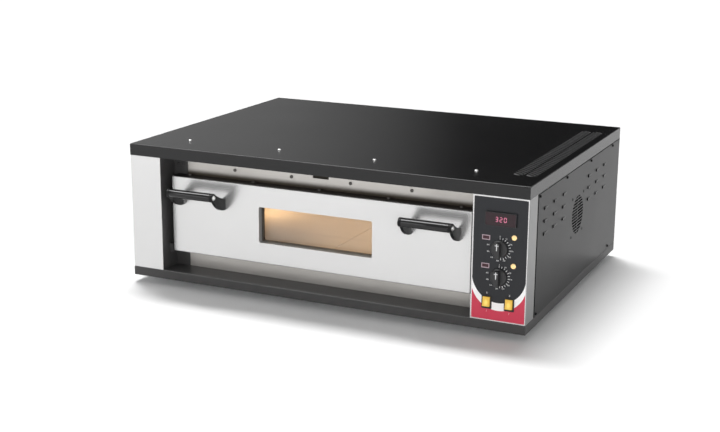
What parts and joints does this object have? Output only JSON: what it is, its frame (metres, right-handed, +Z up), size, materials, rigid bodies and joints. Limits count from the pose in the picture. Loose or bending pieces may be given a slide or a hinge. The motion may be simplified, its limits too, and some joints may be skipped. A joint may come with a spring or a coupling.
{
  "type": "countertop pizza oven",
  "caption": "Low wide electric pizza oven for a counter: dark casing, steel drop-down door with a window and bar handles, stone floor, control column at the right.",
  "frame": {"origin": "on the table plane, under the middle of the bounding box", "axes": "+Z up, front with door and controls towards -Y, control column towards +X"},
  "size_m": [1.1564, 0.928, 0.3992],
  "materials": {
    "dark_paint": "satin powder coat",
    "recess_dark": "matt black paint",
    "stainless": "satin stainless steel",
    "frame_steel": "stainless steel, slightly heat tinted",
    "galvanised": "galvanised sheet",
    "fastener_steel": "bright steel",
    "liner_steel": "aluminised steel, baked",
    "stone": "rough refractory slab",
    "rack_steel": "scaled black steel",
    "element": "oxidised heating sheath",
    "wool": "mineral wool",
    "lamp_ceramic": "glazed ceramic and steel cup",
    "bulb_glass": "lit bulb",
    "clear_glass": "clear heat-proof glass",
    "copper_brass": "brass and copper",
    "knob_black": "fine-grained black",
    "overlay_print": "printed film, dark with a white band and a red foot",
    "lens_red": "smoked red window",
    "black_plastic": "black plastic",
    "pilot_amber": "amber lens, lit",
    "rocker_yellow": "lit yellow rocker",
    "contactor_white": "pale plastic",
    "enamel_dark": "dark enamel",
    "window_grey": "grey painted frame",
    "spacer_alu": "extruded spacer",
    "handle_black": "glossy black",
    "foot_rubber": "black rubber"
  },
  "bodies": {
    "casing": {"feet": "foot_rubber", "bottom_cover": "galvanised", "base_tray": "dark_paint", "frame_angles": "galvanised", "front_frame": "frame_steel", "jamb_plate": "recess_dark", "left_post": "stainless", "bay_wall": "recess_dark", "column_shell": "stainless", "left_side": "dark_paint", "right_side": "dark_paint", "back_panel": "galvanised", "top_cover": "dark_paint", "casing_screws": "fastener_steel", "chamber_liner": "liner_steel", "floor_stones": "stone", "stone_rack": "rack_steel", "element_top": "element", "element_bottom": "element", "element_supports": "rack_steel", "wool_top": "wool", "wool_bottom": "wool", "wool_left": "wool", "wool_right": "wool", "wool_back": "wool", "lamp_holder": "lamp_ceramic", "lamp_bulb": "bulb_glass", "lamp_glass": "clear_glass", "thermocouple": "fastener_steel", "thermostat_top": "copper_brass", "thermostat_bottom": "copper_brass", "overlay": "overlay_print", "display_lens": "lens_red", "controller": "black_plastic", "pilot_lamps": "pilot_amber", "switch_frames": "black_plastic", "fan_frame": "black_plastic", "contactor": "contactor_white", "terminal_block": "contactor_white", "cable_gland": "black_plastic", "hinge_bushes": "recess_dark"},
    "door": {"door_shell": "stainless", "door_inner": "enamel_dark", "door_wool": "wool", "window_frame": "window_grey", "glass_outer": "clear_glass", "glass_spacer": "spacer_alu", "glass_inner": "clear_glass", "hinge_blocks": "galvanised", "hinge_pins": "fastener_steel", "handle_bars": "handle_black", "handle_brackets": "handle_black", "door_screws": "fastener_steel"},
    "upper_knob": {"knob_top": "knob_black", "shaft_top": "fastener_steel"},
    "lower_knob": {"knob_bottom": "knob_black", "shaft_bottom": "fastener_steel"},
    "left_rocker": {"rocker_left": "rocker_yellow"},
    "right_rocker": {"rocker_right": "rocker_yellow"},
    "fan": {"fan_rotor": "black_plastic"}
  },
  "joints": [
    {"name": "door_hinge", "type": "hinge", "parent": "casing", "child": "door", "pos_m": [-0.0245, -0.378, 0.1015], "axis": [1, 0, 0], "range_deg": [0, 90]},
    {"name": "upper_thermostat", "type": "hinge", "parent": "casing", "child": "upper_knob", "pos_m": [0.5025, -0.425, 0.233], "axis": [0, 1, 0], "range_deg": [0, 300]},
    {"name": "lower_thermostat", "type": "hinge", "parent": "casing", "child": "lower_knob", "pos_m": [0.5025, -0.425, 0.161], "axis": [0, 1, 0], "range_deg": [0, 300]},
    {"name": "left_switch", "type": "hinge", "parent": "casing", "child": "left_rocker", "pos_m": [0.4732, -0.419, 0.0935], "axis": [1, 0, 0], "range_deg": [0, 18]},
    {"name": "right_switch", "type": "hinge", "parent": "casing", "child": "right_rocker", "pos_m": [0.5318, -0.419, 0.0935], "axis": [1, 0, 0], "range_deg": [0, 18]},
    {"name": "fan_spin", "type": "hinge", "parent": "casing", "child": "fan", "pos_m": [0.5355, 0, 0.2295], "axis": [1, 0, 0], "continuous": true}
  ]
}
